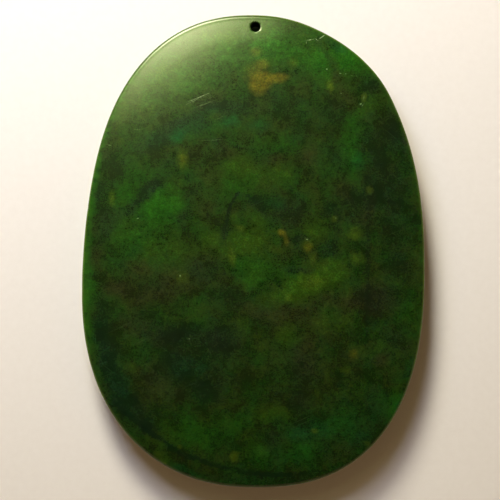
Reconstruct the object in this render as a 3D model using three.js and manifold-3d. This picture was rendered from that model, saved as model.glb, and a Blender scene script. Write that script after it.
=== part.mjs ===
// Jade amulet: one oval plaque of dark green nephrite, bored close to its top edge for a cord.
// Millimetres. It lies on its flat underside, polished face up, with the bore towards +Y.
// The origin is on the underside, below the middle of the outline's box.
// The stone is one piece. Its model is parted straight across at the shoulder, under the bore, because
// only a head that small keeps the bore open where contact shapes are worked out from it.
import * as THREE from 'three';
import { mergeVertices } from 'three/addons/utils/BufferGeometryUtils.js';
import Module from 'manifold-3d';

const wasm = await Module();
wasm.setup();

// Size of the whole plaque
const plaqueHeight = 70;
const plaqueWidth = 50.8;
const plaqueThickness = 6;

// Outline: four quarter curves that meet at the top, the bottom and the widest points
const apexX = 0.4;
const widestLeftY = -5.5;
const widestRightY = -2.5;
const fullness = { topRight: 2.29, topLeft: 2.38, bottomLeft: 2.26, bottomRight: 2.44 };

// Where hand grinding left the outline a little fuller or flatter: degrees round from +X, mm, degrees
const swells = [
  { at: 52, rise: 0.14, spread: 6 },
  { at: 72, rise: -0.46, spread: 11 },
  { at: 159, rise: -0.34, spread: 26 },
];

// Face and edges
const crownRise = 1;
const crownPower = 3;
const topEasingWidth = 0.55;
const topEasingDepth = 0.3;
const bottomEasing = 0.5;

// Low bevel ground along the lower left edge, widest at one place and fading both ways
const bevelWidth = 3;
const bevelDrop = 0.28;
const bevelAt = 246;
const bevelBefore = 24;
const bevelAfter = 50;

// Bore for the cord, and the countersink that breaks its two mouths
const boreDiameter = 1.4;
const boreX = 0.36;
const boreBelowTop = 1.82;
const countersink = 0.14;
const boreSides = 32;

// Where the head is parted from the body, and the gap between them
const seamY = 29;
const seamGap = 0.3;

// Small chips knocked out of the top edge, placed round the outline in degrees
const chips = [
  { at: 165.5, radius: 0.42, inset: -0.18 },
  { at: 353.2, radius: 0.34, inset: -0.14 },
  { at: 129.5, radius: 0.3, inset: -0.12 },
];

// Fineness of the facets
const stepsAround = 120;
const easingSteps = 4;

// The plaque starts as a round blank: its edge band keeps its width as the blank takes the outline
const blankRadius = 30;
const edgeBand = 3.6;
const innerRadius = blankRadius - edgeBand;

// Signed distance in degrees from one bearing to another, -180 to 180
function turnBetween(from, to) {
  return THREE.MathUtils.euclideanModulo(to - from + 180, 360) - 180;
}

// One point of the outline for a parameter that runs from 0 to 2 pi
function outlinePoint(t) {
  const right = Math.cos(t) >= 0;
  const top = Math.sin(t) >= 0;
  const power = fullness[(top ? 'top' : 'bottom') + (right ? 'Right' : 'Left')];
  const widestY = right ? widestRightY : widestLeftY;
  const reachX = plaqueWidth / 2 + (right ? -apexX : apexX);
  const reachY = plaqueHeight / 2 + (top ? -widestY : widestY);
  const x = apexX + (right ? 1 : -1) * reachX * Math.abs(Math.cos(t)) ** (2 / power);
  const y = widestY + (top ? 1 : -1) * reachY * Math.abs(Math.sin(t)) ** (2 / power);
  const bearing = THREE.MathUtils.radToDeg(Math.atan2(y, x));
  const point = new THREE.Vector2(x, y);
  const swell = swells.reduce(
    (sum, s) => sum + s.rise * Math.exp(-((turnBetween(s.at, bearing) / s.spread) ** 2)), 0);
  return point.setLength(point.length() + swell);
}

// The outline's point at a bearing in degrees, found by halving the parameter's range
function outlineAt(bearing) {
  let low = THREE.MathUtils.degToRad(bearing - 25);
  let high = THREE.MathUtils.degToRad(bearing + 25);
  for (let i = 0; i < 30; i += 1) {
    const middle = (low + high) / 2;
    const point = outlinePoint(middle);
    const here = THREE.MathUtils.radToDeg(Math.atan2(point.y, point.x));
    if (turnBetween(here, bearing) > 0) {
      low = middle;
    } else {
      high = middle;
    }
  }
  return outlinePoint(low);
}

// Height of the crowned face above the underside, by distance from the blank's axis
function faceHeight(radius) {
  return plaqueThickness - crownRise * (radius / blankRadius) ** crownPower;
}

// How far the low bevel lies under the face at a bearing, and at a distance in from the edge
function bevelDepth(bearing, inset) {
  const turn = turnBetween(bevelAt, bearing);
  const reach = turn < 0 ? bevelBefore : bevelAfter;
  const width = bevelWidth * Math.max(0, 1 - (turn / reach) ** 2);
  return bevelDrop * Math.max(0, (width - inset) / bevelWidth);
}

// Half section of the blank: underside, eased lower edge, side, eased upper edge, crowned face
function blankProfile() {
  const profile = [new THREE.Vector2(0, 0), new THREE.Vector2(innerRadius, 0)];
  for (let i = 0; i < easingSteps; i += 1) {
    const a = (i / (easingSteps - 1)) * Math.PI / 2;
    profile.push(new THREE.Vector2(
      blankRadius - bottomEasing * (1 - Math.sin(a)),
      bottomEasing * (1 - Math.cos(a)),
    ));
  }
  const shoulder = faceHeight(blankRadius - topEasingWidth);
  for (let i = 0; i <= easingSteps; i += 1) {
    const a = (i / easingSteps) * Math.PI / 2;
    profile.push(new THREE.Vector2(
      blankRadius - topEasingWidth * (1 - Math.cos(a)),
      shoulder - topEasingDepth * (1 - Math.sin(a)),
    ));
  }
  const bandSteps = 4;
  for (let i = 1; i <= bandSteps; i += 1) {
    const radius = THREE.MathUtils.lerp(blankRadius - topEasingWidth, innerRadius, i / bandSteps);
    profile.push(new THREE.Vector2(radius, faceHeight(radius)));
  }
  const faceSteps = 5;
  for (let i = faceSteps - 1; i >= 0; i -= 1) {
    const radius = innerRadius * (i / faceSteps);
    profile.push(new THREE.Vector2(radius, faceHeight(radius)));
  }
  return profile;
}

// A closed geometry with shared corners, as a solid that can be cut
function solidFrom(geometry) {
  const bare = geometry.clone();
  bare.deleteAttribute('normal');
  bare.deleteAttribute('uv');
  const merged = mergeVertices(bare, 1e-4);
  const corners = new Float32Array(merged.attributes.position.array);
  const index = Array.from(merged.index.array);
  const triangles = [];
  for (let i = 0; i < index.length; i += 3) {
    const [a, b, c] = index.slice(i, i + 3);
    if (a !== b && b !== c && c !== a) {
      triangles.push(a, b, c);
    }
  }
  return new wasm.Manifold(new wasm.Mesh({
    numProp: 3,
    vertProperties: corners,
    triVerts: new Uint32Array(triangles),
  }));
}

// The round blank, turned so that its axis is Z, then drawn out to the oval outline
function plaqueBody() {
  const geometry = new THREE.LatheGeometry(blankProfile(), stepsAround);
  geometry.rotateX(Math.PI / 2);
  const position = geometry.attributes.position;
  const place = new THREE.Vector3();
  for (let i = 0; i < position.count; i += 1) {
    place.fromBufferAttribute(position, i);
    const radius = Math.hypot(place.x, place.y);
    const rim = outlinePoint(Math.atan2(place.y, place.x));
    const reach = rim.length();
    const inset = Math.min(blankRadius - radius, edgeBand);
    const share = ((reach - inset) / reach) * Math.min(radius / innerRadius, 1);
    const bearing = THREE.MathUtils.radToDeg(Math.atan2(rim.y, rim.x));
    const onTop = place.z > plaqueThickness / 2;
    const drop = onTop && radius >= innerRadius - 1 ? bevelDepth(bearing, blankRadius - radius) : 0;
    position.setXYZ(i, rim.x * share, rim.y * share, place.z - drop);
  }
  return solidFrom(geometry);
}

// What the drill and the countersink take away, one turned shape longer than the plaque is thick
function boreCutter() {
  const radius = boreDiameter / 2;
  const over = 1;
  const mouthTop = faceHeight(blankRadius - boreBelowTop);
  const wide = radius + countersink + over;
  const profile = [
    new THREE.Vector2(0, -over),
    new THREE.Vector2(wide, -over),
    new THREE.Vector2(radius, countersink),
    new THREE.Vector2(radius, mouthTop - countersink),
    new THREE.Vector2(wide, mouthTop + over),
    new THREE.Vector2(0, mouthTop + over),
  ];
  const geometry = new THREE.LatheGeometry(profile, boreSides);
  geometry.rotateX(Math.PI / 2);
  geometry.translate(boreX, plaqueHeight / 2 - boreBelowTop, 0);
  return solidFrom(geometry);
}

// What one chip takes out of the top edge
function chipCutter({ at, radius, inset }) {
  const rim = outlineAt(at);
  const height = faceHeight(blankRadius - topEasingWidth) - topEasingDepth / 2;
  const geometry = new THREE.IcosahedronGeometry(radius, 1);
  geometry.scale(1, 1, 1.4);
  geometry.translate(rim.x, rim.y, height);
  const outward = rim.clone().setLength(-inset);
  geometry.translate(outward.x, outward.y, 0);
  return solidFrom(geometry);
}

// The finished solid as a geometry with flat facets
function geometryFrom(solid) {
  const { vertProperties, triVerts } = solid.getMesh();
  const geometry = new THREE.BufferGeometry();
  geometry.setAttribute('position', new THREE.BufferAttribute(vertProperties, 3));
  geometry.setIndex(new THREE.BufferAttribute(triVerts, 1));
  geometry.computeVertexNormals();
  return geometry;
}

// The whole stone: the body of the plaque with its bore and its chips cut
function wholeStone() {
  let solid = plaqueBody().subtract(boreCutter());
  for (const chip of chips) {
    solid = solid.subtract(chipCutter(chip));
  }
  return solid;
}

// One part of the stone as a mesh of polished jade
function jadeMesh(name, solid) {
  const jade = new THREE.MeshStandardMaterial({ color: 0x1c3d12, roughness: 0.32, metalness: 0 });
  const mesh = new THREE.Mesh(geometryFrom(solid), jade);
  mesh.name = name;
  return mesh;
}

const stone = wholeStone();
const towardsBore = [0, 1, 0];
const awayFromBore = [0, -1, 0];

const amulet = new THREE.Group();
amulet.add(jadeMesh('jade_plaque_body', stone.trimByPlane(awayFromBore, -(seamY - seamGap / 2))));
amulet.add(jadeMesh('jade_plaque_head', stone.trimByPlane(towardsBore, seamY + seamGap / 2)));

export default amulet;
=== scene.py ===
# %% [markdown]
# This piece is a worn jade amulet: one oval slab of dark green nephrite, polished, with a small bore
# for its cord. A slab like this has almost no form to hide behind, so the lesson is about edges and
# stone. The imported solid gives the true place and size, and nothing here moves or resizes it.

# %% Load the frame
import math
from collections import namedtuple

import bmesh
import bpy
import numpy as np
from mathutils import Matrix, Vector, noise


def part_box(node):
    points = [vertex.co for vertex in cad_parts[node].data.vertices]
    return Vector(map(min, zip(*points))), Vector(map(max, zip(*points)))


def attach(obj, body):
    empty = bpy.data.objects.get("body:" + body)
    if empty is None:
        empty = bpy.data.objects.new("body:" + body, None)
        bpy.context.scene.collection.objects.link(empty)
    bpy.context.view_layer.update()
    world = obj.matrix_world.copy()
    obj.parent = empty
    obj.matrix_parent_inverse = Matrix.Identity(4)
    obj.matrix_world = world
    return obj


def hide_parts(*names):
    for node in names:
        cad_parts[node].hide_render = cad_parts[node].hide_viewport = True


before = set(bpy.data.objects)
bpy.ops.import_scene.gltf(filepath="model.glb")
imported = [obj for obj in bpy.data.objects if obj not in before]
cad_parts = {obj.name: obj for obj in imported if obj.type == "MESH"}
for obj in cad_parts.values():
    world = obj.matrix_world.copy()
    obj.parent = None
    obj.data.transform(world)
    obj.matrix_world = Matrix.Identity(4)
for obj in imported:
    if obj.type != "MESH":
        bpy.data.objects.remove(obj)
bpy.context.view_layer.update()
MM = 0.001
parts = ("jade_plaque_body", "jade_plaque_head")
plaque_low, plaque_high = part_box(parts[0])
head_low, head_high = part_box(parts[1])
plaque_size = Vector((plaque_high.x - plaque_low.x, head_high.y - plaque_low.y, plaque_high.z))
seam_low, seam_high = plaque_high.y, head_low.y
print("plaque in mm:", [round(side / MM, 2) for side in plaque_size])

# %% [markdown]
# A camera comes first, because every later choice is judged through it. The plaque is seen from
# straight above. A long lens far away would flatten the reflections, so the camera stands at the
# distance of a hand held over a table, and its lens is worked out from the width it has to take in at
# the height of the plaque's edge, because it is that edge which draws the outline.

# %% Place the camera
edge_height = 4.6 * MM
picture_width = 74.07 * MM
picture_centre = Vector((-0.45 * MM, 0.19 * MM, edge_height))
camera_distance = 250 * MM
sensor_width = 36.0
nearest_seen = 0.01

camera_data = bpy.data.cameras.new("camera_above")
camera_data.sensor_width = sensor_width
camera_data.lens = sensor_width * camera_distance / picture_width
camera_data.clip_start = nearest_seen
camera = bpy.data.objects.new("camera_above", camera_data)
camera.location = picture_centre + Vector((0, 0, camera_distance))
bpy.context.scene.collection.objects.link(camera)
bpy.context.scene.camera = camera
print("lens in mm:", round(camera_data.lens, 1))

# %% [markdown]
# The outline was ground by hand, so it isn't a true ellipse. The frame already holds it as a ring of
# corners at the foot of the side wall. Reading that ring and running a smooth curve through it gives
# a finer edge that can't drift away from the solid. The solid is parted under its bore, which the
# real stone isn't, so the corners on that seam are passed over.

# %% Read the outline from the frame
ring_height = 0.5 * MM
near_zero = 0.01 * MM
ring = {}
for part in parts:
    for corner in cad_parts[part].data.vertices:
        on_seam = seam_low - near_zero < corner.co.y < seam_high + near_zero
        if abs(corner.co.z - ring_height) < near_zero and not on_seam:
            ring[round(math.atan2(corner.co.y, corner.co.x), 4)] = corner.co.xy.length
ring_bearings = np.array(sorted(ring))
ring_radii = np.array([ring[bearing] for bearing in ring_bearings])
print("corners in the ring:", len(ring_bearings))

# %% A smooth curve through the ring
FULL_TURN = 2 * math.pi
last_bearing = ring_bearings[-1] - FULL_TURN
first_bearing = ring_bearings[0] + FULL_TURN
closed_bearings = np.concatenate([[last_bearing], ring_bearings, [first_bearing]])
closed_radii = np.concatenate([[ring_radii[-1]], ring_radii, [ring_radii[0]]])
ring_slopes = (closed_radii[2:] - closed_radii[:-2]) / (closed_bearings[2:] - closed_bearings[:-2])


def rim_radius(bearing):
    """Distance from the origin's axis to the outline at a bearing in radians."""
    bearing = (bearing - ring_bearings[0]) % FULL_TURN + ring_bearings[0]
    here = min(int(np.searchsorted(ring_bearings, bearing, side="right")) - 1, len(ring_bearings) - 1)
    after = (here + 1) % len(ring_bearings)
    span = (ring_bearings[after] - ring_bearings[here]) % FULL_TURN
    t = (bearing - ring_bearings[here]) / span
    start = (1 + 2 * t) * (1 - t) ** 2 * ring_radii[here] + t * (1 - t) ** 2 * span * ring_slopes[here]
    end = t * t * (3 - 2 * t) * ring_radii[after] + t * t * (t - 1) * span * ring_slopes[after]
    return start + end


print("reach towards the bore in mm:", round(rim_radius(math.pi / 2) / MM, 2))

# %% [markdown]
# A lathed blank is the quickest way to a slab with good edges: half a section is drawn once, with its
# eased edges and its gently crowned face, and spun round. Working the arcs with a few more steps than
# the solid has lets the light run round the edge without a facet.

# %% Sizes of the section
thickness = plaque_size.z
crown_rise = 1.0 * MM
crown_power = 3.0
top_easing_width = 0.55 * MM
top_easing_depth = 0.3 * MM
bottom_easing = 0.5 * MM
blank_radius = 30 * MM
edge_band = 3.6 * MM
inner_radius = blank_radius - edge_band
steps_around = 320
easing_steps = 10
underside_steps = 12
side_steps = 8
band_steps = 10
face_steps = 44
inset_scale = 0.9995
merge_distance = 0.0005 * MM


def face_height(radius):
    """Height of the crowned face at a distance from the blank's axis."""
    return thickness - crown_rise * (radius / blank_radius) ** crown_power


# %% Draw half the section
def section_points():
    """The half section from the axis on the underside round to the axis on the face."""
    quarter_turn = np.linspace(0, math.pi / 2, easing_steps)[1:]
    points = [(radius, 0.0) for radius in np.linspace(0, blank_radius - bottom_easing, underside_steps)]
    for turn in quarter_turn:
        radius = blank_radius - bottom_easing * (1 - math.sin(turn))
        points.append((radius, bottom_easing * (1 - math.cos(turn))))
    shoulder = face_height(blank_radius - top_easing_width)
    side = np.linspace(bottom_easing, shoulder - top_easing_depth, side_steps)[1:]
    points += [(blank_radius, height) for height in side]
    for turn in quarter_turn:
        radius = blank_radius - top_easing_width * (1 - math.cos(turn))
        points.append((radius, shoulder - top_easing_depth * (1 - math.sin(turn))))
    band = np.linspace(blank_radius - top_easing_width, inner_radius, band_steps)[1:]
    points += [(radius, face_height(radius)) for radius in band]
    face = np.linspace(inner_radius, 0, face_steps)[1:]
    points += [(radius, face_height(radius)) for radius in face]
    return points


blank = bmesh.new()
section = [blank.verts.new((radius, 0, height)) for radius, height in section_points()]
section_edges = [blank.edges.new(pair) for pair in zip(section, section[1:])]
bmesh.ops.spin(
    blank,
    geom=section + section_edges,
    cent=(0, 0, 0),
    axis=(0, 0, 1),
    angle=FULL_TURN,
    steps=steps_around,
    use_merge=True,
)
bmesh.ops.remove_doubles(blank, verts=blank.verts, dist=merge_distance)
bmesh.ops.recalc_face_normals(blank, faces=blank.faces)
print("faces on the blank:", len(blank.faces))

# %% [markdown]
# The round blank is then drawn out to the oval. The outer band keeps its width, so the eased edge is
# the same all round, and only the middle stretches. Along the lower left edge the maker ground a low
# bevel that fades both ways, and hand polishing leaves the whole face very slightly uneven, which is
# what makes its reflection look like stone and not like glass.

# %% Draw the blank out to the oval
bevel_width = 3.0 * MM
bevel_drop = 0.28 * MM
bevel_at = math.radians(246)
bevel_before = math.radians(24)
bevel_after = math.radians(50)
unevenness = 0.012 * MM
unevenness_size = 9 * MM


def bevel_width_at(bearing):
    """Width of the low bevel at a bearing, nothing where it has faded out."""
    turn = (bearing - bevel_at + math.pi) % FULL_TURN - math.pi
    reach = bevel_before if turn < 0 else bevel_after
    return bevel_width * max(0.0, 1 - (turn / reach) ** 2)


def bevel_depth(bearing, inset):
    """How far the low bevel lies under the face."""
    return bevel_drop * max(0.0, (bevel_width_at(bearing) - inset) / bevel_width)


for corner in blank.verts:
    radius = math.hypot(corner.co.x, corner.co.y)
    bearing = math.atan2(corner.co.y, corner.co.x)
    reach = rim_radius(bearing) * inset_scale
    inset = min(blank_radius - radius, edge_band)
    share = (reach - inset) / reach * min(radius / inner_radius, 1)
    height = corner.co.z
    if height > thickness / 2:
        height -= bevel_depth(bearing, blank_radius - radius)
    corner.co = Vector((reach * share * math.cos(bearing), reach * share * math.sin(bearing), height))
    if height > thickness / 2:
        fade = min(1.0, (blank_radius - radius) / edge_band)
        corner.co.z -= unevenness * fade * (1 + noise.noise(corner.co / unevenness_size))

plaque_mesh = bpy.data.meshes.new("polished_plaque")
blank.to_mesh(plaque_mesh)
blank.free()
plaque = bpy.data.objects.new("polished_plaque", plaque_mesh)
bpy.context.scene.collection.objects.link(plaque)
print("corners on the oval:", len(plaque_mesh.vertices))

# %% [markdown]
# Holes and chips are cut, as they were in the stone. The drill is one more spun section, wider at both
# ends where the mouths are broken. Its upper end leans with the crowned face, so that the rounding is
# even all the way round and catches the light in one thin arc. A chip is a small rough ball that bites
# into the edge. A Boolean with the exact solver makes clean cuts, and its result is baked into the mesh.

# %% Tools that cut the stone
bore_radius = 0.7 * MM
bore_below_top = 1.82 * MM
bore_x = 0.36 * MM
top_y = 35 * MM
bore_centre = Vector((bore_x, top_y - bore_below_top, 0))
bore_sides = 64
mouth_round = 0.18 * MM
mouth_fall = 0.12 * MM
mouth_steps = 7
overshoot = 1 * MM


def add_tool(name, form):
    """Puts a finished bmesh into the scene as a cutting tool."""
    mesh = bpy.data.meshes.new(name)
    form.to_mesh(mesh)
    form.free()
    tool = bpy.data.objects.new(name, mesh)
    bpy.context.scene.collection.objects.link(tool)
    return tool


def drill():
    """The drill, flared at both ends so that it leaves the mouths of the bore rounded."""
    mouth = face_height(blank_radius - bore_below_top) - unevenness / 2
    reach = 1 - bore_below_top / blank_radius
    lean = crown_power * crown_rise / blank_radius * reach ** (crown_power - 1)
    wide = bore_radius + mouth_round
    flare = []
    for turn in np.linspace(0, math.pi / 2, mouth_steps):
        flare.append((wide - mouth_round * math.sin(turn), mouth_fall * (1 - math.cos(turn))))
    outline = [(0, -overshoot), (wide, -overshoot)]
    outline += flare
    outline += [(radius, mouth - height) for radius, height in reversed(flare)]
    outline += [(wide, mouth + overshoot), (0, mouth + overshoot)]
    form = bmesh.new()
    corners = [form.verts.new((radius, 0, height)) for radius, height in outline]
    edges = [form.edges.new(pair) for pair in zip(corners, corners[1:])]
    bmesh.ops.spin(
        form, geom=corners + edges, cent=(0, 0, 0), axis=(0, 0, 1),
        angle=FULL_TURN, steps=bore_sides, use_merge=True,
    )
    bmesh.ops.remove_doubles(form, verts=form.verts, dist=merge_distance)
    bmesh.ops.recalc_face_normals(form, faces=form.faces)
    for corner in form.verts:
        if corner.co.z > thickness / 2:
            corner.co.z -= lean * corner.co.y
    bmesh.ops.translate(form, verts=form.verts, vec=bore_centre)
    return add_tool("drill", form)


# Chips in the top edge: bearing in degrees, size in mm, how far outside the rim its middle is
chips = [
    (165.5, 0.42, 0.18),
    (353.2, 0.34, 0.14),
    (129.5, 0.30, 0.12),
]
chip_roughness = 0.18
chip_grain = 0.25 * MM


def chip_tool(number, bearing_degrees, size, outside):
    """A rough ball that bites a chip out of the top edge."""
    bearing = math.radians(bearing_degrees)
    reach = rim_radius(bearing) + outside * MM
    height = face_height(blank_radius - top_easing_width) - top_easing_depth / 2
    form = bmesh.new()
    bmesh.ops.create_icosphere(form, subdivisions=3, radius=size * MM)
    for corner in form.verts:
        corner.co *= 1 + chip_roughness * noise.noise(corner.co / chip_grain + Vector((number, 0, 0)))
    bmesh.ops.translate(
        form, verts=form.verts,
        vec=(reach * math.cos(bearing), reach * math.sin(bearing), height),
    )
    return add_tool(f"chip_{number}", form)


# %% Cut the bore and the chips
sharp_angle = math.radians(38)
tools = [drill()]
tools += [chip_tool(number, *chip) for number, chip in enumerate(chips)]
for tool in tools:
    cut = plaque.modifiers.new(tool.name, "BOOLEAN")
    cut.operation = "DIFFERENCE"
    cut.solver = "EXACT"
    cut.object = tool
bpy.context.view_layer.update()
evaluated = plaque.evaluated_get(bpy.context.evaluated_depsgraph_get())
finished = bpy.data.meshes.new_from_object(evaluated)
plaque.modifiers.clear()
plaque.data = finished
bpy.data.meshes.remove(plaque_mesh)
for tool in tools:
    bpy.data.objects.remove(tool)
finished.polygons.foreach_set("use_smooth", [True] * len(finished.polygons))
finished.set_sharp_from_angle(angle=sharp_angle)
print("faces after cutting:", len(finished.polygons))

# %% [markdown]
# Light that goes into thin stone comes out again near the rim, so the stone looks lighter there, and
# the low bevel shows as a paler band behind a dark line. The material paints that rim light and that
# dark line of shade into the stone's colour. Both follow the outline, not a straight axis, so each
# corner stores two distances as attributes, which the material can read on any side: how far in from
# the rim it is, and how far outside the bevel's inner border.

# %% Store the distances from the rim and from the bevel
def store_distance(name, values):
    """Keeps one number in millimetres on every corner of the plaque."""
    attribute = finished.attributes.new(name, "FLOAT", "POINT")
    attribute.data.foreach_set("value", values)
    print(name, "runs from", round(min(values), 2), "to", round(max(values), 2))


rim_values = []
bevel_values = []
for corner in finished.vertices:
    bearing = math.atan2(corner.co.y, corner.co.x)
    inset = rim_radius(bearing) - corner.co.xy.length
    rim_values.append(inset / MM)
    width = bevel_width_at(bearing)
    bevel_values.append((width - inset) / MM if width > 0 else -thickness / MM)
store_distance("rim_mm", rim_values)
store_distance("bevel_mm", bevel_values)

# %% [markdown]
# The stone's pattern is worked in millimetres on Object coordinates. Nephrite grows as felted fibres,
# so its clouds have no hard borders: the coordinates are pushed about by noise before anything reads
# them, and every mark then gets a ragged edge for free. Small helpers keep the node code readable.

# %% Helpers for nodes
def add_node(tree, kind, **settings):
    """Adds a node and sets its properties."""
    node = tree.nodes.new(kind)
    for name, value in settings.items():
        setattr(node, name, value)
    return node


def feed(tree, target, value):
    """Links an output to a socket, or sets the socket to a plain value."""
    if isinstance(value, bpy.types.NodeSocket):
        tree.links.new(value, target)
    else:
        target.default_value = value


def maths(tree, operation, first, second=0.0, clamp=False):
    """A Math node's result."""
    node = add_node(tree, "ShaderNodeMath", operation=operation, use_clamp=clamp)
    feed(tree, node.inputs[0], first)
    feed(tree, node.inputs[1], second)
    return node.outputs[0]


def vector_maths(tree, operation, first, second=(0.0, 0.0, 0.0)):
    """A Vector Math node's vector result."""
    node = add_node(tree, "ShaderNodeVectorMath", operation=operation)
    feed(tree, node.inputs[0], first)
    feed(tree, node.inputs[1], second)
    return node.outputs[0]


def cloud_noise(tree, coordinates, scale, detail=4.0, roughness=0.55, distortion=0.0):
    """A Noise node, whose outputs are its value and its colour."""
    node = add_node(tree, "ShaderNodeTexNoise", noise_dimensions="3D")
    feed(tree, node.inputs["Vector"], coordinates)
    node.inputs["Scale"].default_value = scale
    node.inputs["Detail"].default_value = detail
    node.inputs["Roughness"].default_value = roughness
    node.inputs["Distortion"].default_value = distortion
    return node.outputs


def ramp(tree, value, low, high, to_low=0.0, to_high=1.0):
    """A smooth ramp of a value between two levels."""
    node = add_node(tree, "ShaderNodeMapRange", interpolation_type="SMOOTHSTEP", clamp=True)
    feed(tree, node.inputs["Value"], value)
    feed(tree, node.inputs["From Min"], low)
    feed(tree, node.inputs["From Max"], high)
    feed(tree, node.inputs["To Min"], to_low)
    feed(tree, node.inputs["To Max"], to_high)
    return node.outputs["Result"]


def mix_colour(tree, amount, first, second, blend="MIX"):
    """A Mix node on two colours."""
    node = add_node(tree, "ShaderNodeMix", data_type="RGBA", blend_type=blend)
    feed(tree, node.inputs["Factor"], amount)
    feed(tree, node.inputs["A"], first)
    feed(tree, node.inputs["B"], second)
    return node.outputs["Result"]


def rgb(red, green, blue):
    """A colour given as it looks on a screen, 0 to 255, turned to the linear values nodes take."""
    def linear(value):
        value = value / 255
        return value / 12.92 if value <= 0.04045 else ((value + 0.055) / 1.055) ** 2.4
    return (linear(red), linear(green), linear(blue), 1.0)


# %% [markdown]
# One group draws every mark in the stone, from a broad cloud to a fleck: an ellipse with a centre, two
# half sizes, a turn and a softness. Building it once with named inputs means that each mark is one
# short line in a list, placed where the maker's stone has it.

# %% A node group for one mark in the stone
def build_mark_group():
    """Mask of a soft-edged ellipse on coordinates in millimetres."""
    group = bpy.data.node_groups.new("stone_mark", "ShaderNodeTree")
    for name, kind in (
        ("Coordinates", "NodeSocketVector"),
        ("Centre", "NodeSocketVector"),
        ("Half Size", "NodeSocketVector"),
        ("Turn", "NodeSocketFloat"),
        ("Softness", "NodeSocketFloat"),
        ("Strength", "NodeSocketFloat"),
    ):
        group.interface.new_socket(name, in_out="INPUT", socket_type=kind)
    group.interface.new_socket("Mask", in_out="OUTPUT", socket_type="NodeSocketFloat")
    given = add_node(group, "NodeGroupInput").outputs
    result = add_node(group, "NodeGroupOutput")
    offset = vector_maths(group, "SUBTRACT", given["Coordinates"], given["Centre"])
    turned = add_node(group, "ShaderNodeVectorRotate", rotation_type="Z_AXIS", invert=True)
    feed(group, turned.inputs["Vector"], offset)
    feed(group, turned.inputs["Angle"], given["Turn"])
    scaled = vector_maths(group, "DIVIDE", turned.outputs["Vector"], given["Half Size"])
    length = add_node(group, "ShaderNodeVectorMath", operation="LENGTH")
    feed(group, length.inputs[0], scaled)
    inner = maths(group, "SUBTRACT", 1.0, given["Softness"])
    outer = maths(group, "ADD", 1.0, given["Softness"])
    mask = ramp(group, length.outputs["Value"], inner, outer, 1.0, 0.0)
    feed(group, result.inputs["Mask"], maths(group, "MULTIPLY", mask, given["Strength"]))
    return group


mark_group = build_mark_group()
MARK_DEPTH = 40.0


def marks(tree, coordinates, rows):
    """The sum of marks. A row is x, y, half length, half width, degrees turned, softness, strength."""
    total = 0.0
    for x, y, half_length, half_width, turn, softness, strength in rows:
        node = add_node(tree, "ShaderNodeGroup", node_tree=mark_group)
        feed(tree, node.inputs["Coordinates"], coordinates)
        node.inputs["Centre"].default_value = (x, y, 0)
        node.inputs["Half Size"].default_value = (half_length, half_width, MARK_DEPTH)
        node.inputs["Turn"].default_value = math.radians(turn)
        node.inputs["Softness"].default_value = softness
        node.inputs["Strength"].default_value = strength
        total = maths(tree, "ADD", total, node.outputs["Mask"])
    return total


# %% [markdown]
# The marks themselves are placed one by one, in millimetres from the plaque's middle. They are kept
# apart by what they are in the stone: green and lime clouds, dark veils and streaks, teal veils and
# spots, brown staining, and the amber patches and olive flecks where iron got in.

# %% Where the clouds are
green_clouds = [
    (-13.8, 6.6, 2.8, 2.4, 10, 0.9, 0.85),
    (-11.0, 24.5, 5.0, 2.5, 25, 0.8, 0.35),
    (-18.6, 9.4, 1.6, 2.4, -30, 0.8, 0.6),
    (-17.0, 1.8, 4.5, 1.6, 5, 0.8, 0.2),
    (-7.6, -8.6, 2.0, 2.4, 0, 0.8, 0.15),
    (-2.6, 9.6, 2.4, 1.6, 10, 0.8, 0.5),
    (4.2, 30.2, 4.4, 2.4, -10, 0.8, 0.9),
    (10.5, 27.0, 2.6, 2.0, -20, 0.8, 0.6),
    (13.4, 28.6, 3.8, 1.8, -28, 0.8, 0.95),
    (-3.0, 29.0, 4.0, 2.5, 0, 0.8, 0.5),
    (15.3, 12.4, 0.9, 3.0, 0, 0.8, 0.6),
    (14.4, 17.2, 1.4, 3.0, -15, 0.8, 0.45),
    (13.2, -25.2, 3.2, 2.2, 0, 0.8, 0.3),
    (-9.2, -27.0, 3.4, 1.8, -10, 0.8, 0.6),
    (0.6, -29.6, 2.2, 1.8, 0, 0.8, 0.5),
    (-15.5, 4.5, 6.5, 5.5, 20, 0.8, 0.28),
    (7.2, -29.8, 3.0, 1.8, 5, 0.8, 0.6),
    (21.2, -23.0, 1.2, 2.2, -20, 0.8, 0.9),
    (22.4, -9.5, 1.8, 3.6, 0, 0.8, 0.2),
    (-23.9, 8.5, 0.9, 5.0, -8, 0.7, 0.7),
    (-24.6, -4.0, 0.7, 6.5, 2, 0.8, 0.5),
    (-23.6, -14.5, 0.6, 4.0, 12, 0.8, 0.2),
    (4.4, 16.0, 3.0, 1.4, 0, 0.8, 0.35),
    (1.2, -3.0, 4.5, 2.0, -10, 0.8, 0.5),
    (-3.0, -25.5, 2.6, 1.6, 0, 0.8, 0.4),
]
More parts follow.
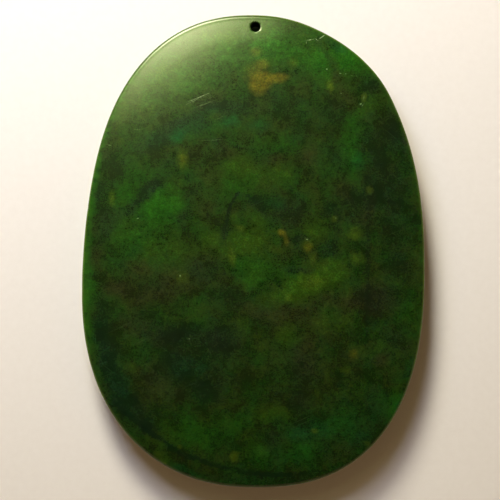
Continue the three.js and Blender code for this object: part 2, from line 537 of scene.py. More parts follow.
lime_clouds = [
    (-2.2, 12.4, 2.2, 1.6, 10, 0.8, 0.7),
    (2.6, 11.2, 3.2, 1.8, 10, 0.8, 0.4),
    (0.8, 4.2, 1.6, 1.4, 0, 0.8, 0.5),
    (-6.0, 1.0, 2.4, 2.0, 0, 0.8, 0.5),
    (-0.6, 1.6, 2.4, 1.6, 0, 0.8, 0.7),
    (8.8, 3.4, 1.6, 2.2, 0, 0.8, 0.6),
    (8.8, -4.8, 3.4, 1.4, 12, 0.8, 1.0),
    (5.4, -6.8, 3.0, 1.2, 10, 0.8, 0.6),
    (11.4, -2.6, 2.6, 1.4, 10, 0.8, 0.5),
    (-13.2, -31.0, 1.4, 1.0, -40, 0.8, 0.5),
    (3.0, -24.0, 3.6, 1.2, 0, 0.8, 0.5),
    (13.8, -21.0, 2.4, 1.2, 0, 0.8, 0.25),
    (-12.6, 0.4, 2.6, 1.4, 0, 0.8, 0.4),
    (4.6, -12.2, 1.2, 1.6, 0, 0.8, 0.8),
    (10.6, -10.4, 3.0, 1.6, 10, 0.8, 0.2),
    (19.0, -13.6, 0.8, 0.8, 0, 0.8, 0.5),
    (16.6, 21.6, 1.6, 1.6, 0, 0.8, 0.3),
]
dark_veils = [
    (-8.6, -17.0, 6.0, 4.2, 10, 0.9, 0.6),
    (12.0, 14.0, 2.2, 2.0, 0, 0.8, 0.4),
    (-3.6, 21.2, 3.4, 1.1, -4, 0.8, 0.8),
    (-8.4, 20.0, 3.0, 1.2, 22, 0.8, 0.7),
    (-12.0, 17.9, 2.6, 1.2, 38, 0.8, 0.7),
    (-14.6, 15.8, 2.2, 1.1, 20, 0.8, 0.6),
    (4.4, 21.6, 3.4, 1.8, -10, 0.8, 0.25),
    (6.8, 16.9, 1.6, 0.9, 0, 0.8, 0.5),
    (-16.8, 7.5, 3.6, 0.8, 44, 0.8, 1.0),
    (-14.8, 9.9, 1.6, 1.0, 20, 0.8, 0.7),
    (-20.2, 12.2, 1.6, 2.0, 0, 0.8, 0.4),
    (-22.7, 8.6, 0.9, 1.8, 0, 0.8, 0.7),
    (-21.9, 3.8, 1.6, 2.6, 0, 0.8, 0.75),
    (-10.2, 4.6, 0.8, 2.8, -4, 0.8, 0.6),
    (-8.8, 8.6, 1.0, 1.2, 0, 0.8, 0.5),
    (0.6, 6.9, 1.5, 0.9, -20, 0.8, 0.6),
    (5.4, 5.8, 2.8, 2.2, 0, 0.8, 0.65),
    (6.7, 1.7, 1.7, 0.5, 8, 0.8, 0.8),
    (6.2, -2.8, 2.8, 0.5, -6, 0.8, 0.7),
    (11.2, 0.1, 1.6, 1.2, 0, 0.8, 0.75),
    (12.2, 3.0, 0.6, 2.2, 0, 0.8, 0.4),
    (11.2, 6.0, 1.3, 1.1, 0, 0.8, 0.6),
    (17.2, 24.6, 1.6, 1.3, 0, 0.8, 0.7),
    (11.6, 20.4, 2.2, 1.8, 0, 0.8, 0.5),
    (21.6, 17.2, 1.2, 3.8, 18, 0.8, 0.75),
    (18.6, 15.8, 2.4, 2.8, 0, 0.8, 0.75),
    (19.4, 9.6, 3.6, 3.4, 0, 0.8, 0.8),
    (21.2, 4.2, 2.6, 3.4, 0, 0.8, 0.6),
    (15.0, 6.6, 2.6, 2.4, 0, 0.8, 0.55),
    (18.2, -7.0, 2.6, 2.0, 0, 0.8, 0.7),
    (21.4, -3.0, 2.0, 3.4, 0, 0.8, 0.45),
    (-6.8, -3.0, 2.4, 1.8, 0, 0.8, 0.6),
    (-3.2, -7.0, 3.4, 1.8, 10, 0.8, 0.5),
    (-4.8, -12.6, 2.8, 2.2, 0, 0.8, 0.8),
    (-12.2, -12.2, 3.6, 1.6, 0, 0.8, 0.8),
    (-17.6, -10.6, 2.2, 1.6, 0, 0.8, 0.4),
    (-11.0, -16.6, 2.0, 1.8, 0, 0.8, 0.6),
    (-6.4, -20.6, 2.6, 1.8, 10, 0.8, 0.65),
    (7.4, -17.6, 2.0, 2.4, 0, 0.8, 0.5),
    (6.8, -22.2, 1.4, 2.2, 0, 0.8, 0.6),
    (2.8, -28.8, 0.9, 2.2, 4, 0.8, 0.6),
    (13.4, -21.8, 1.2, 0.9, 0, 0.8, 0.5),
    (17.3, -21.8, 0.8, 1.8, 0, 0.8, 0.4),
    (20.8, -13.4, 2.2, 2.6, 0, 0.8, 0.65),
    (15.8, -28.0, 1.8, 0.9, 30, 0.8, 0.6),
    (-22.4, -10.6, 1.2, 3.0, 4, 0.9, 0.8),
    (-21.5, -15.6, 1.9, 3.2, 8, 0.9, 1.0),
    (-20.2, -19.8, 1.8, 2.8, 20, 0.9, 1.0),
    (-17.9, -23.4, 1.6, 2.8, 38, 0.9, 1.0),
    (-15.4, -26.2, 0.8, 1.8, 44, 0.8, 0.8),
]
teal_veils = [
    (0.0, -34.0, 9.0, 0.9, 0, 0.8, 0.3),
    (11.0, -26.6, 6.5, 3.6, 25, 0.9, 0.25),
    (17.5, -25.0, 2.0, 3.5, -40, 0.9, 0.25),
    (-3.6, 19.2, 1.4, 0.8, 10, 0.8, 0.8),
    (-11.2, 16.8, 1.1, 0.8, 30, 0.8, 0.8),
    (-3.4, 20.9, 3.6, 0.8, -4, 0.8, 0.2),
    (-9.0, 18.9, 3.4, 1.0, 28, 0.8, 0.3),
    (-15.4, 16.2, 2.4, 1.2, 28, 0.8, 0.25),
    (0.8, 18.6, 1.6, 0.8, 0, 0.8, 0.5),
    (-7.6, 18.0, 2.6, 0.7, 14, 0.8, 0.3),
    (12.6, 30.2, 1.4, 0.6, -30, 0.8, 0.6),
    (-22.4, 16.4, 0.6, 2.6, -20, 0.8, 0.7),
    (-23.6, 11.0, 0.5, 2.6, -12, 0.8, 0.6),
    (15.4, 13.2, 0.9, 1.2, 0, 0.8, 0.5),
    (-22.5, -9.5, 1.0, 3.5, 4, 0.8, 0.12),
    (-21.2, -16.6, 1.6, 3.0, 10, 0.8, 0.2),
    (-19.0, -21.6, 1.6, 3.0, 30, 0.8, 0.18),
    (-9.6, -17.2, 3.0, 1.6, 10, 0.8, 0.2),
    (-10.5, -32.6, 2.4, 0.8, -24, 0.8, 0.5),
    (8.0, -26.6, 3.0, 1.2, 0, 0.8, 0.4),
    (22.2, -22.2, 0.8, 1.8, -24, 0.8, 0.6),
    (3.4, 7.0, 1.2, 0.8, 0, 0.8, 0.4),
]
brown_stains = [
    (7.0, -17.4, 3.6, 4.8, 0, 0.9, 0.35),
    (-13.7, -20.2, 2.6, 2.6, 0, 0.9, 0.6),
    (-17.4, -10.5, 2.4, 1.8, 0, 0.9, 0.5),
    (-20.4, -5.4, 1.9, 1.3, 0, 0.8, 0.9),
    (-15.6, -6.6, 2.4, 1.3, 0, 0.8, 0.8),
    (-17.2, -2.8, 2.0, 1.2, 0, 0.8, 0.7),
    (-12.0, -4.4, 3.4, 2.2, -10, 0.8, 0.6),
    (-22.8, -1.0, 0.7, 2.0, 0, 0.8, 0.6),
    (-7.4, -1.2, 3.0, 1.4, 10, 0.8, 0.5),
    (-4.6, -4.6, 2.6, 1.4, 0, 0.8, 0.4),
    (3.6, -9.4, 5.4, 1.6, -4, 0.8, 0.7),
    (10.2, -7.4, 2.6, 1.2, 20, 0.8, 0.5),
    (18.0, -7.4, 3.2, 2.0, 0, 0.8, 0.9),
    (13.8, -7.8, 2.0, 1.2, 0, 0.8, 0.5),
    (16.9, 5.6, 0.9, 3.4, 0, 0.8, 0.7),
    (13.4, 9.2, 1.6, 1.8, 0, 0.8, 0.6),
    (3.4, 13.6, 1.8, 0.9, 10, 0.8, 0.6),
    (8.4, 14.2, 1.2, 1.2, 0, 0.8, 0.7),
    (-4.2, 14.2, 2.2, 0.8, 0, 0.8, 0.5),
    (-8.6, 14.6, 2.0, 0.7, 0, 0.8, 0.3),
    (-6.6, 6.0, 1.2, 1.8, 0, 0.8, 0.4),
    (-21.2, 14.4, 0.9, 1.2, 0, 0.8, 0.5),
    (-4.6, -13.8, 2.4, 1.6, 0, 0.8, 0.6),
    (-12.4, -12.6, 2.6, 1.0, 0, 0.8, 0.5),
    (7.8, -15.4, 1.6, 3.2, 0, 0.8, 0.4),
    (19.0, -16.2, 1.2, 0.8, 0, 0.8, 0.8),
    (15.2, -15.8, 1.6, 2.4, 0, 0.8, 0.4),
    (22.8, 16.4, 0.6, 1.6, 20, 0.8, 0.6),
    (-16.4, -20.0, 1.6, 3.4, 10, 0.8, 0.3),
    (12.6, 25.8, 0.7, 3.4, 24, 0.8, 0.6),
    (9.6, 30.4, 1.4, 1.0, 0, 0.8, 0.4),
]

# %% Where the streaks, patches and flecks are
dark_streaks = [
    (-2.3, 8.4, 0.5, 0.24, 50, 0.6, 0.8),
    (-3.1, 7.2, 1.1, 0.2, 63, 0.7, 0.8),
    (-3.7, 5.3, 1.3, 0.34, 80, 0.7, 0.8),
    (-4.2, 2.7, 1.6, 0.5, 77, 0.8, 0.75),
    (-1.2, 8.2, 1.2, 0.26, -15, 0.8, 0.35),
    (1.2, 6.2, 1.9, 0.4, -56, 0.8, 0.4),
    (16.9, -3.0, 11.0, 0.3, 89, 0.8, 0.55),
    (11.2, 28.2, 2.4, 0.3, -62, 0.8, 0.4),
]
amber_patches = [
    (1.3, 25.2, 1.5, 1.2, 10, 0.55, 0.9),
    (0.7, 24.2, 1.2, 1.0, 0, 0.6, 0.7),
    (3.8, 25.6, 1.3, 0.65, 8, 0.6, 0.8),
    (1.3, 27.6, 0.9, 0.6, 0, 0.8, 0.45),
    (0.4, 29.4, 0.8, 0.6, 0, 0.8, 0.35),
    (0.2, 26.2, 1.2, 1.2, 0, 0.9, 0.35),
    (4.2, 2.7, 0.6, 0.4, -40, 0.7, 0.75),
    (4.9, 1.6, 0.3, 0.7, 10, 0.8, 0.45),
    (8.1, 0.6, 0.55, 0.55, 0, 0.8, 0.5),
    (14.8, -15.1, 0.6, 0.7, 0, 0.8, 0.3),
    (-10.4, 13.6, 0.35, 0.5, 0, 0.8, 0.3),
]
olive_flecks = [
    (-10.4, 13.5, 0.75, 1.15, 0, 0.8, 0.8),
    (-20.8, 7.9, 0.4, 0.9, 0, 0.8, 0.7),
    (11.4, 24.4, 0.5, 0.75, 10, 0.7, 0.8),
    (16.35, 22.7, 0.35, 0.6, -15, 0.6, 1.0),
    (5.9, 27.8, 0.6, 0.6, 0, 0.8, 0.5),
    (-3.1, -0.9, 0.45, 1.2, 5, 0.8, 0.7),
    (-1.8, 3.4, 0.7, 0.4, -20, 0.8, 0.6),
    (8.0, 0.8, 0.6, 0.7, 0, 0.8, 0.6),
    (8.8, -1.0, 0.5, 0.7, 0, 0.8, 0.4),
    (3.2, 0.2, 1.2, 0.5, 0, 0.8, 0.3),
    (15.0, 2.6, 0.9, 0.8, 0, 0.8, 0.6),
    (15.2, -1.0, 0.7, 0.7, 0, 0.8, 0.35),
    (12.0, 4.8, 0.4, 0.4, 0, 0.8, 0.5),
    (8.8, -4.6, 1.5, 0.8, 10, 0.8, 0.55),
    (-10.5, -4.0, 0.9, 0.7, 0, 0.8, 0.4),
    (-2.8, -30.3, 0.55, 0.8, -12, 0.5, 0.9),
    (-10.7, -28.9, 0.3, 0.3, 0, 0.6, 0.6),
    (9.1, -26.5, 0.5, 0.35, 0, 0.7, 0.7),
    (13.7, -17.5, 0.7, 0.5, 0, 0.8, 0.5),
    (16.9, -28.4, 0.4, 0.3, -30, 0.7, 0.6),
    (17.2, 9.0, 0.5, 0.5, 0, 0.8, 0.5),
    (5.4, -6.9, 0.6, 0.5, 0, 0.8, 0.4),
    (-14.0, -30.0, 0.5, 0.3, -40, 0.8, 0.5),
    (-13.2, -31.2, 0.5, 0.4, -40, 0.8, 0.4),
    (1.4, 27.8, 0.8, 0.6, 0, 0.8, 0.4),
]
bright_specks = [
    (16.35, 22.7, 0.1, 0.3, -15, 0.8, 0.25),
    (15.9, 21.75, 0.14, 0.08, 20, 0.6, 0.9),
    (7.95, 1.75, 0.12, 0.07, 0, 0.6, 0.8),
    (-10.75, -3.6, 0.09, 0.12, 0, 0.6, 0.8),
    (-17.0, 4.85, 0.16, 0.07, 20, 0.6, 0.6),
    (-9.4, -12.9, 0.1, 0.07, -40, 0.6, 0.4),
    (12.2, 4.9, 0.08, 0.08, 0, 0.6, 0.4),
    (10.9, 26.9, 0.1, 0.1, 0, 0.6, 0.7),
    (13.0, 23.3, 0.08, 0.08, 0, 0.6, 0.4),
]
clouds_and_veils = green_clouds + lime_clouds + dark_veils + teal_veils + brown_stains
small_marks = dark_streaks + amber_patches + olive_flecks + bright_specks
print("clouds and veils:", len(clouds_and_veils), "small marks:", len(small_marks))

# %% [markdown]
# Wear is shallow and catches the light: a few long arcs from being put down on a hard table, and a
# graze with small hooks near the top edge. Each is a thin stretched mark, used for colour, for a drop
# in polish and for a slight dent.

# %% Where the scratches are
scratches = [
    (-7.9, 22.75, 1.5, 0.045, 22, 0.6, 0.7),
    (-8.9, 22.1, 1.0, 0.04, 26, 0.6, 0.45),
    (-7.2, 21.7, 1.4, 0.04, 20, 0.6, 0.3),
    (-4.8, 19.7, 0.5, 0.045, 25, 0.6, 0.4),
    (-6.0, 16.4, 1.6, 0.035, 2, 0.6, 0.4),
    (-17.1, 18.0, 0.6, 0.045, 0, 0.6, 0.35),
    (-21.3, 15.7, 0.3, 0.07, -20, 0.6, 0.6),
    (10.2, 31.7, 0.45, 0.06, 35, 0.6, 1.0),
    (8.4, 31.25, 0.5, 0.05, 8, 0.6, 0.8),
    (9.4, 31.3, 0.3, 0.05, -40, 0.6, 0.8),
    (7.9, 30.9, 0.3, 0.04, 80, 0.6, 0.5),
    (12.9, 26.3, 0.16, 0.05, -10, 0.6, 0.6),
    (13.7, 26.2, 0.1, 0.05, 0, 0.6, 0.5),
    (14.6, 26.0, 0.12, 0.05, -20, 0.6, 0.6),
    (15.3, 25.9, 0.1, 0.05, -20, 0.6, 0.5),
    (16.2, 21.6, 0.3, 0.05, 50, 0.6, 0.5),
]

# Painted shade inside the bore, a hair wider than the drill; the same mask makes its unpolished wall
# rougher
shade_spill = 0.015
shade_reach = bore_radius / MM + shade_spill
bore_shade_rows = [
    (bore_centre.x / MM, bore_centre.y / MM, shade_reach, shade_reach, 0, 0.02, 1.0),
]
print("scratches:", len(scratches))

# %% [markdown]
# Fine hairlines cover any stone that has been worn. One group makes a set of them: noise stretched hard
# along one direction, of which only the very crests are kept, and only here and there. Placed twice
# with two turns, it gives the crossed hairlines of real wear, faint enough to be missed at first.

# %% A node group for hairlines
HAIRLINE_STRETCH = (0.12, 4.6, 0.2)
HAIRLINE_SOFTNESS = 0.05


def build_hairline_group():
    """Mask of sparse thin lines that run along one direction."""
    group = bpy.data.node_groups.new("hairlines", "ShaderNodeTree")
    for name, kind in (
        ("Coordinates", "NodeSocketVector"),
        ("Turn", "NodeSocketFloat"),
        ("Rareness", "NodeSocketFloat"),
    ):
        group.interface.new_socket(name, in_out="INPUT", socket_type=kind)
    group.interface.new_socket("Mask", in_out="OUTPUT", socket_type="NodeSocketFloat")
    given = add_node(group, "NodeGroupInput").outputs
    result = add_node(group, "NodeGroupOutput")
    turned = add_node(group, "ShaderNodeVectorRotate", rotation_type="Z_AXIS")
    feed(group, turned.inputs["Vector"], given["Coordinates"])
    feed(group, turned.inputs["Angle"], given["Turn"])
    stretched = vector_maths(group, "MULTIPLY", turned.outputs["Vector"], HAIRLINE_STRETCH)
    line = cloud_noise(group, stretched, 1.0, 1.0)["Fac"]
    patch = cloud_noise(group, given["Coordinates"], 0.22, 2.0)["Fac"]
    crest_top = maths(group, "ADD", given["Rareness"], HAIRLINE_SOFTNESS)
    crest = ramp(group, line, given["Rareness"], crest_top)
    feed(group, result.inputs["Mask"], maths(group, "MULTIPLY", crest, ramp(group, patch, 0.42, 0.62)))
    return group


hairline_group = build_hairline_group()


def hairlines(tree, coordinates, turn_degrees, rareness):
    """One set of hairlines."""
    node = add_node(tree, "ShaderNodeGroup", node_tree=hairline_group)
    feed(tree, node.inputs["Coordinates"], coordinates)
    node.inputs["Turn"].default_value = math.radians(turn_degrees)
    node.inputs["Rareness"].default_value = rareness
    return node.outputs["Mask"]


# %% [markdown]
# Now the stone. A noise's colour output carries three patterns at once, so one broad noise gives the
# drift between olive, green and teal together with its lightness, a middling one gives the felt that
# breaks up each mark, and a fine one gives the grain.

# %% Patterns that run through the stone
Patterns = namedtuple("Patterns", ("hue", "lime", "light"))


def three_patterns(tree, coordinates, scale, detail, roughness):
    """Three independent patterns from one noise."""
    noise_colour = cloud_noise(tree, coordinates, scale, detail, roughness)["Color"]
    split = add_node(tree, "ShaderNodeSeparateColor")
    feed(tree, split.inputs["Color"], noise_colour)
    return Patterns(split.outputs[0], split.outputs[1], split.outputs[2])


def pushed(tree, coordinates, scale, detail, reach):
    """Coordinates moved about by noise."""
    push = cloud_noise(tree, coordinates, scale, detail, 0.6)["Color"]
    centred = vector_maths(tree, "SUBTRACT", push, (0.5, 0.5, 0.5))
    return vector_maths(tree, "ADD", coordinates, vector_maths(tree, "MULTIPLY", centred, (reach,) * 3))


def wandering(tree, value, pattern, reach):
    """A value moved up and down by a pattern."""
    off_middle = maths(tree, "SUBTRACT", pattern, 0.5)
    return maths(tree, "ADD", value, maths(tree, "MULTIPLY", off_middle, reach))


def product(tree, first, *others):
    """Values multiplied together."""
    for other in others:
        first = maths(tree, "MULTIPLY", first, other)
    return first


def scaled_colour(tree, colour, amount):
    """A colour made lighter or darker."""
    node = add_node(tree, "ShaderNodeVectorMath", operation="SCALE")
    feed(tree, node.inputs[0], colour)
    feed(tree, node.inputs["Scale"], amount)
    return node.outputs[0]


# %% Tints of the stone
OLIVE = rgb(30, 42, 10)
GREEN = rgb(23, 48, 10)
LIME = rgb(41, 61, 10)
TEAL = rgb(13, 39, 18)
CLOUD_GREEN = rgb(27, 76, 10)
CLOUD_LIME = rgb(48, 76, 12)
CLOUD_TEAL = rgb(10, 62, 26)
BROWN = rgb(38, 37, 16)
DARK = rgb(15, 27, 14)
FLECK = rgb(72, 88, 18)
AMBER = rgb(92, 84, 17)
# Painted light: a yellow glow on the eased edge, and a green glow along the rim
PAINTED_EDGE_GLOW = rgb(98, 128, 20)
PAINTED_RIM_GLOW = rgb(48, 90, 20)
# Painted shade: the dark line inside the bevel
PAINTED_BEVEL_SHADE = rgb(9, 26, 13)
WORN = rgb(140, 160, 110)
# Painted shade: the dark inside of the bore
PAINTED_BORE_SHADE = rgb(12, 16, 9)

# %% [markdown]
# The colour is built up from the broad to the fine. First comes the ground, then the placed marks, each
# list in its own tint and each mark broken up by the felt, and then light and dark in three sizes, down
# to a fine speckle of hue.

# %% The ground colour
def ground_colour(tree, drift, felt):
    """Olive that drifts into green, lime and teal."""
    hue = wandering(tree, drift.hue, felt.hue, 0.25)
    lime = wandering(tree, drift.lime, felt.lime, 0.3)
    colour = mix_colour(tree, ramp(tree, hue, 0.34, 0.66), OLIVE, GREEN)
    colour = mix_colour(tree, ramp(tree, lime, 0.52, 0.78, 0.0, 0.6), colour, LIME)
    return mix_colour(tree, ramp(tree, lime, 0.22, 0.46, 0.6, 0.0), colour, TEAL)


# %% The placed marks
def lay_marks(tree, colour, layers, broken):
    """Lays marks over a colour. A layer holds rows, a tint, its greatest share and its coordinates."""
    for rows, tint, most, coordinates in layers:
        total = maths(tree, "MULTIPLY", marks(tree, coordinates, rows), broken, clamp=True)
        colour = mix_colour(tree, maths(tree, "MULTIPLY", total, most), colour, tint)
    return colour


# %% Light, dark and speckle
# Each is the low and high of what is read, then how dark and how light it makes the colour
DRIFT_LIGHT = (0.25, 0.75, 0.62, 1.4)
FELT_LIGHT = (0.34, 0.85, 0.87, 1.5)
GRAIN_LIGHT = (0.32, 0.85, 0.7, 2.2)
LOWER_END_LIGHT = (-34.0, -2.0, 0.89, 1.03)

# Each is the low and high of what is read, then the least and most of a tint or of red and blue
GRAIN_TINT = (0.5, 0.75, 0.0, 0.4)
SPECKLE_RED = (0.25, 0.75, 0.65, 1.35)
SPECKLE_BLUE = (0.25, 0.75, 0.3, 1.7)


def add_grain(tree, colour, drift, felt, grain, y):
    """Makes a colour uneven in three sizes, and darker towards the lower end."""
    colour = scaled_colour(tree, colour, ramp(tree, drift.light, *DRIFT_LIGHT))
    colour = scaled_colour(tree, colour, ramp(tree, felt.light, *FELT_LIGHT))
    colour = scaled_colour(tree, colour, ramp(tree, grain.light, *GRAIN_LIGHT))
    colour = mix_colour(tree, ramp(tree, grain.hue, *GRAIN_TINT), colour, LIME)
    colour = mix_colour(tree, ramp(tree, grain.lime, *GRAIN_TINT), colour, TEAL)
    colour = scaled_colour(tree, colour, ramp(tree, y, *LOWER_END_LIGHT))
    speckle = add_node(tree, "ShaderNodeCombineXYZ")
    feed(tree, speckle.inputs["X"], ramp(tree, grain.hue, *SPECKLE_RED))
    speckle.inputs["Y"].default_value = 1.0
    feed(tree, speckle.inputs["Z"], ramp(tree, grain.lime, *SPECKLE_BLUE))
    return vector_maths(tree, "MULTIPLY", colour, speckle.outputs["Vector"])


# %% [markdown]
# The two stored distances now paint light into the rim's colour and paint the dark line of shade
# inside the bevel. The painted rim light is stronger on the left, where the window stands, and hardly
# there at all along the bevel. Neither the painted rim light nor the painted yellow glow of the eased
# edge goes below the eased edge, so that the side wall stays dark.

# %% Painted light on the rim and painted shade at the bevel
def light_rim(tree, colour, rim, felt_hue, place):
    """Paints light into the colour of a band along the rim, and a thin painted glow on the eased edge.
    """
    x, y, z = place
    above_wall = ramp(tree, z, 4.45, 4.85)
    band = ramp(tree, rim, 0.3, 1.3, 0.8, 0.0)
    patches = ramp(tree, felt_hue, 0.38, 0.6)
    leftwards = ramp(tree, x, -21.0, -10.0, 1.0, 0.3)
    above_bevel = ramp(tree, y, -17.0, -11.0, 0.15, 1.0)
    rim_light = product(tree, band, patches, above_wall, leftwards, above_bevel)
    colour = mix_colour(tree, rim_light, colour, PAINTED_RIM_GLOW)
    eased_edge_glow = product(tree, ramp(tree, rim, 0.0, 0.35, 0.6, 0.0), above_wall)
    return mix_colour(tree, eased_edge_glow, colour, PAINTED_EDGE_GLOW)


def paint_bevel_shade(tree, colour, rim, felt_hue, drift_light):
    """Paints the wavering dark line of shade inside the low bevel into the colour."""
    bevel = add_node(tree, "ShaderNodeAttribute", attribute_name="bevel_mm").outputs["Fac"]
    off_line = maths(tree, "ABSOLUTE", wandering(tree, bevel, drift_light, 1.2))
    line = ramp(tree, off_line, 0.05, 0.65, 0.66, 0.0)
    inside_rim = ramp(tree, rim, 0.6, 1.8)
    uneven = ramp(tree, felt_hue, 0.34, 0.56, 0.35, 1.0)
    return mix_colour(tree, product(tree, line, inside_rim, uneven), colour, PAINTED_BEVEL_SHADE)


# %% The wear
HAIRLINE_STRENGTH = 0.05


def wear_mask(tree, millimetres, grain_light):
    """Where the polish is scratched, faintly all over and plainly at the placed scratches."""
    worn = marks(tree, pushed(tree, millimetres, 1.6, 1.0, 0.12), scratches)
    worn = maths(tree, "MULTIPLY", worn, ramp(tree, grain_light, 0.4, 0.6, 0.2, 1.2), clamp=True)
    one_way = hairlines(tree, millimetres, -24, 0.69)
    other_way = hairlines(tree, millimetres, 38, 0.71)
    fine_lines = maths(tree, "MULTIPLY", maths(tree, "ADD", one_way, other_way), HAIRLINE_STRENGTH)
    return maths(tree, "ADD", worn, fine_lines, clamp=True)


# %% [markdown]
# The material puts these together. Nephrite is polished but never as bright as glass, so its roughness
# stays a little above a mirror's and rises in a scratch and on the wall of the bore. A little light
# goes into it, most of all green.

# %% The jade material
LEAST_OF_MARK = 0.7
FELT_IN_MARK = 0.6
SMOOTHEST, DULLEST = 0.145, 0.185
SCRATCH_COLOUR = 0.7
SCRATCH_DULLING = 0.25
BORE_DULLING = 0.6
FELT_HEIGHT = 0.1
BUMP_STRENGTH = 0.3
BUMP_DISTANCE = 0.02 * MM
NEPHRITE_IOR = 1.61
LIGHT_SHARE_INSIDE = 0.2
LIGHT_REACH = 0.8 * MM
LIGHT_REACH_BY_COLOUR = (0.35, 1.0, 0.25)


def build_jade():
    """Dark green nephrite, polished, with its clouds, stains, flecks and wear."""
    material = bpy.data.materials.new("jade")
    material.use_nodes = True
    tree = material.node_tree
    tree.nodes.clear()
    output = add_node(tree, "ShaderNodeOutputMaterial")
    shader = add_node(tree, "ShaderNodeBsdfPrincipled")
    feed(tree, output.inputs["Surface"], shader.outputs["BSDF"])

    object_place = add_node(tree, "ShaderNodeTexCoord").outputs["Object"]
    millimetres = vector_maths(tree, "MULTIPLY", object_place, (1 / MM, 1 / MM, 1 / MM))
    split_place = add_node(tree, "ShaderNodeSeparateXYZ")
    feed(tree, split_place.inputs[0], millimetres)
    place = split_place.outputs["X"], split_place.outputs["Y"], split_place.outputs["Z"]
    rim = add_node(tree, "ShaderNodeAttribute", attribute_name="rim_mm").outputs["Fac"]

    slight = pushed(tree, millimetres, 1.3, 2.0, 0.55)
    near = pushed(tree, millimetres, 0.7, 1.5, 1.1)
    warped = pushed(tree, near, 0.24, 2.0, 2.6)
    drift = three_patterns(tree, warped, 0.3, 3.5, 0.6)
    felt = three_patterns(tree, near, 1.2, 4.0, 0.7)
    grain = three_patterns(tree, millimetres, 4.0, 4.0, 0.85)

    layers = (
        (green_clouds, CLOUD_GREEN, 0.75, warped),
        (lime_clouds, CLOUD_LIME, 0.7, warped),
        (brown_stains, BROWN, 0.8, warped),
        (dark_veils, DARK, 0.74, warped),
        (teal_veils, CLOUD_TEAL, 0.74, near),
        (dark_streaks, DARK, 0.85, slight),
        (olive_flecks, FLECK, 0.66, slight),
        (amber_patches, AMBER, 0.78, slight),
    )
    broken = maths(tree, "ADD", LEAST_OF_MARK, maths(tree, "MULTIPLY", felt.light, FELT_IN_MARK))
    colour = lay_marks(tree, ground_colour(tree, drift, felt), layers, broken)
    colour = add_grain(tree, colour, drift, felt, grain, split_place.outputs["Y"])
    # Painted light along the rim, and painted shade along the bevel's inner line
    colour = light_rim(tree, colour, rim, felt.hue, place)
    colour = paint_bevel_shade(tree, colour, rim, felt.hue, drift.light)
    colour = mix_colour(tree, marks(tree, millimetres, bright_specks), colour, WORN)
    wear = wear_mask(tree, millimetres, grain.light)
    colour = mix_colour(tree, maths(tree, "MULTIPLY", wear, SCRATCH_COLOUR), colour, WORN)
    # Painted shade: the inside of the bore is darkened in the colour
    in_bore = marks(tree, millimetres, bore_shade_rows)
    colour = mix_colour(tree, in_bore, colour, PAINTED_BORE_SHADE)
    feed(tree, shader.inputs["Base Color"], colour)

    roughness = ramp(tree, felt.light, 0.3, 0.75, SMOOTHEST, DULLEST)
    roughness = maths(tree, "ADD", roughness, maths(tree, "MULTIPLY", wear, SCRATCH_DULLING))
    bore_roughness = maths(tree, "MULTIPLY", in_bore, BORE_DULLING)
    roughness = maths(tree, "ADD", roughness, bore_roughness, clamp=True)
    feed(tree, shader.inputs["Roughness"], roughness)

    height = maths(tree, "SUBTRACT", maths(tree, "MULTIPLY", felt.light, FELT_HEIGHT), wear)
    bump = add_node(tree, "ShaderNodeBump")
    bump.inputs["Strength"].default_value = BUMP_STRENGTH
    bump.inputs["Distance"].default_value = BUMP_DISTANCE
    feed(tree, bump.inputs["Height"], height)
    feed(tree, shader.inputs["Normal"], bump.outputs["Normal"])

    shader.inputs["IOR"].default_value = NEPHRITE_IOR
    shader.inputs["Subsurface Weight"].default_value = LIGHT_SHARE_INSIDE
    shader.inputs["Subsurface Radius"].default_value = LIGHT_REACH_BY_COLOUR
    shader.inputs["Subsurface Scale"].default_value = LIGHT_REACH
    return material


jade = build_jade()
plaque.data.materials.clear()
plaque.data.materials.append(jade)
print("nodes in the jade:", len(jade.node_tree.nodes))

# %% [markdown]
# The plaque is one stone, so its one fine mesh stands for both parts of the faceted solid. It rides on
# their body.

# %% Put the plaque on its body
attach(plaque, "root")
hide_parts(*parts)

# %% [markdown]
# The plaque lies on a plain pale table. A floor is only a stage, so it has one soft material: a cream
# colour with a faint tooth, so that the light can fall off across it.

# %% Lay the floor
floor_half_side = 1.5
floor_drop = 0.02 * MM
floor_dark = rgb(232, 222, 205)
floor_light = rgb(238, 229, 213)


def build_floor():
    """A large pale sheet just under the plaque."""
    form = bmesh.new()
    bmesh.ops.create_grid(form, x_segments=1, y_segments=1, size=floor_half_side)
    bmesh.ops.translate(form, verts=form.verts, vec=(0, 0, -floor_drop))
    mesh = bpy.data.meshes.new("floor")
    form.to_mesh(mesh)
    form.free()
    floor = bpy.data.objects.new("floor", mesh)
    bpy.context.scene.collection.objects.link(floor)
    material = bpy.data.materials.new("pale_floor")
    material.use_nodes = True
    tree = material.node_tree
    shader = tree.nodes["Principled BSDF"]
    place = add_node(tree, "ShaderNodeTexCoord").outputs["Object"]
    tooth = cloud_noise(tree, place, 900.0, 3.0, 0.6)["Fac"]
    feed(tree, shader.inputs["Base Color"], mix_colour(tree, tooth, floor_dark, floor_light))
    shader.inputs["Roughness"].default_value = 0.8
    mesh.materials.append(material)
    return floor


floor = build_floor()
print("side of the floor in m:", 2 * floor_half_side)

# %% [markdown]
# Two soft lamps stand over the top of the table, a little to the left: a strong one farther off, low
# enough to throw a long shadow below the slab, and a weak one close by that makes the shadow's border
# wider and the table brighter at the top left. The polished face doesn't mirror either of them, because
# what it mirrors is hung up separately.

# %% Light the table
table_middle = Vector((0, 0, 0))


def turned_towards(location, target):
    """The turn that points something's underside from a place at a target."""
    return (Vector(target) - Vector(location)).to_track_quat("-Z", "Y").to_euler()


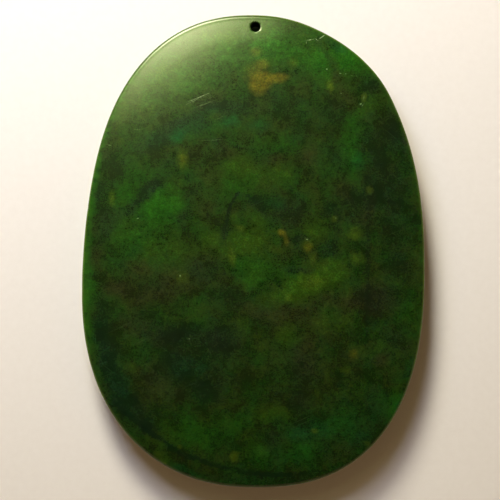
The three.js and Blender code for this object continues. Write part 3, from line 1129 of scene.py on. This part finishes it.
def area_lamp(name, location, size, power, colour):
    """A round lamp that faces the middle of the table and that no polish mirrors."""
    data = bpy.data.lights.new(name, "AREA")
    data.shape = "DISK"
    data.size = size
    data.energy = power
    data.color = colour
    lamp = bpy.data.objects.new(name, data)
    lamp.location = location
    lamp.rotation_euler = turned_towards(location, table_middle)
    lamp.visible_glossy = False
    bpy.context.scene.collection.objects.link(lamp)
    return lamp


def over_table(bearing_degrees, away, height):
    """A place by its bearing from the plaque, its distance along the table and its height."""
    bearing = math.radians(bearing_degrees)
    return (away * math.cos(bearing), away * math.sin(bearing), height)


near_place = over_table(bearing_degrees=111.4, away=0.131, height=0.1235)
far_place = over_table(bearing_degrees=103.5, away=0.409, height=0.231)
area_lamp("near_lamp", near_place, size=0.1, power=0.222, colour=(0.94, 1.03, 1.42))
area_lamp("far_lamp", far_place, size=0.125, power=2.12, colour=(0.99, 0.97, 0.785))
print("lamps above the table in m:", near_place[2], far_place[2])

# %% [markdown]
# What a polished face mirrors matters as much as its own colour. A soft window of light hangs where
# the crowned face sees it near the top left edge only: bright in its middle, fading and turning
# greener outwards. A smaller glow in the place of the near lamp draws the thin bright line on the eased
# edge. Each gives out light and lets all other light through, so neither hides the other, and neither
# lights the table. Straight overhead the room is dark, so that the rest of the face keeps its depth.

# %% Hang the windows that the polish mirrors
window_sides = 64


def build_window(name, centre, target, radius, widening, strength, inner_tint, outer_tint):
    """An oval of light that only reflections see, fading from its middle to its border."""
    form = bmesh.new()
    bmesh.ops.create_circle(form, cap_ends=True, segments=window_sides, radius=radius)
    bmesh.ops.scale(form, verts=form.verts, vec=(widening, 1, 1))
    mesh = bpy.data.meshes.new(name)
    form.to_mesh(mesh)
    form.free()
    window = bpy.data.objects.new(name, mesh)
    window.location = centre
    window.rotation_euler = turned_towards(centre, target)
    bpy.context.scene.collection.objects.link(window)
    material = bpy.data.materials.new(name)
    material.use_nodes = True
    tree = material.node_tree
    tree.nodes.clear()
    output = add_node(tree, "ShaderNodeOutputMaterial")
    emission = add_node(tree, "ShaderNodeEmission")
    clear = add_node(tree, "ShaderNodeBsdfTransparent")
    both = add_node(tree, "ShaderNodeAddShader")
    feed(tree, both.inputs[0], emission.outputs["Emission"])
    feed(tree, both.inputs[1], clear.outputs["BSDF"])
    feed(tree, output.inputs["Surface"], both.outputs["Shader"])
    place = add_node(tree, "ShaderNodeTexCoord").outputs["Object"]
    length = add_node(tree, "ShaderNodeVectorMath", operation="LENGTH")
    feed(tree, length.inputs[0], vector_maths(tree, "MULTIPLY", place, (1 / widening, 1, 1)))
    away = length.outputs["Value"]
    outwards = ramp(tree, away, 0.2 * radius, 0.8 * radius)
    tint = mix_colour(tree, outwards, inner_tint, outer_tint)
    feed(tree, emission.inputs["Color"], tint)
    feed(tree, emission.inputs["Strength"], ramp(tree, away, 0.1 * radius, radius, strength, 0.0))
    mesh.materials.append(material)
    window.visible_diffuse = False
    window.visible_shadow = False
    return window


window = build_window(
    "soft_window",
    centre=(-0.073, 0.158, 0.305),
    target=(-0.012, 0.028, 0.005),
    radius=0.092,
    widening=1.6,
    strength=18.8,
    inner_tint=(1.06, 1.0, 0.62, 1.0),
    outer_tint=(0.68, 1.0, 0.25, 1.0),
)
edge_glow = build_window(
    "edge_glow",
    centre=near_place,
    target=table_middle,
    radius=0.06,
    widening=1.0,
    strength=21.0,
    inner_tint=(1.0, 1.0, 0.78, 1.0),
    outer_tint=(1.0, 0.98, 0.6, 1.0),
)
print("seen in the polish:", window.name, edge_glow.name)

# %% Fill the room with a little warm light
room_colour = (1.0, 0.68, 0.38, 1.0)
room_strength = 0.29
dimmed_from, dark_above = 0.72, 0.86

world = bpy.data.worlds.new("room")
world.use_nodes = True
room = world.node_tree
background = room.nodes["Background"]
background.inputs["Color"].default_value = room_colour
direction = add_node(room, "ShaderNodeSeparateXYZ")
feed(room, direction.inputs[0], add_node(room, "ShaderNodeTexCoord").outputs["Generated"])
upwards = direction.outputs["Z"]
strength = ramp(room, upwards, dimmed_from, dark_above, room_strength, 0.0)
feed(room, background.inputs["Strength"], strength)
bpy.context.scene.world = world
bpy.context.scene.view_settings.view_transform = "Standard"
